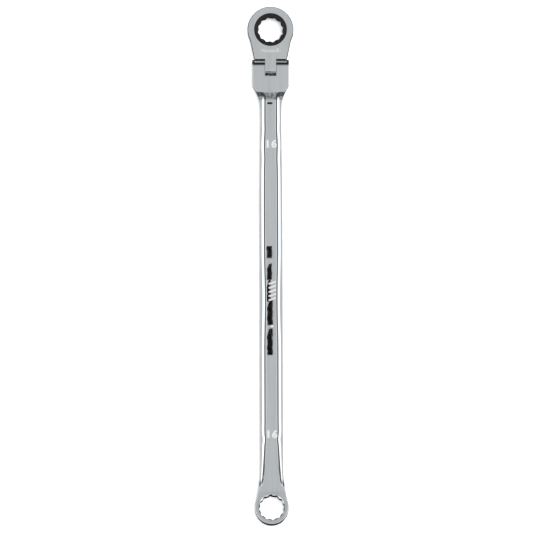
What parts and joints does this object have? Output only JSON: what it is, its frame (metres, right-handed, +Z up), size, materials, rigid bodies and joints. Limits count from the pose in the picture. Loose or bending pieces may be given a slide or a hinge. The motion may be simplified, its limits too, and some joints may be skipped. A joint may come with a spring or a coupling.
{
  "type": "ratchet wrench",
  "caption": "Extra-long double box wrench: a flexing ratchet head with a 12-point gear at one end, an offset 12-point box at the other, and a fluted bar between.",
  "frame": {"origin": "on the surface the wrench lies on, under the middle of its bounding box", "axes": "+Y along the bar towards the ratchet head, +Z up through the wrench's thickness, +X across it"},
  "size_m": [0.0326, 0.3688, 0.0137],
  "materials": {
    "chrome_forging": "polished chrome plate on forged steel",
    "plated_steel": "ground steel pin, plated",
    "bare_steel": "hardened bare steel, oiled",
    "spring_steel": "drawn spring steel",
    "black_steel": "black phosphate, satin"
  },
  "bodies": {
    "handle": {"shank": "chrome_forging", "pivot_pin": "plated_steel", "friction_ball": "bare_steel", "friction_spring": "spring_steel"},
    "head": {"ratchet_housing": "chrome_forging", "cover_washer": "black_steel", "snap_ring": "spring_steel", "pawl_spring": "spring_steel"},
    "gear": {"ratchet_gear": "black_steel"},
    "pawl_block": {"pawl": "bare_steel"}
  },
  "joints": [
    {"name": "flex_pivot", "type": "hinge", "parent": "handle", "child": "head", "pos_m": [0, 0.14153, 0.0053], "axis": [1, 0, 0], "range_deg": [-90, 90]},
    {"name": "gear_spin", "type": "hinge", "parent": "head", "child": "gear", "pos_m": [0, 0.16803, 0.0053], "axis": [0, 0, 1], "continuous": true},
    {"name": "pawl_slide", "type": "slide", "parent": "head", "child": "pawl_block", "axis": [-0.454, -0.891, 0], "range_m": [0, 0.00075], "stiffness_N_per_m": 300, "springref_m": -0.0015, "deforming": ["pawl_spring"]}
  ]
}
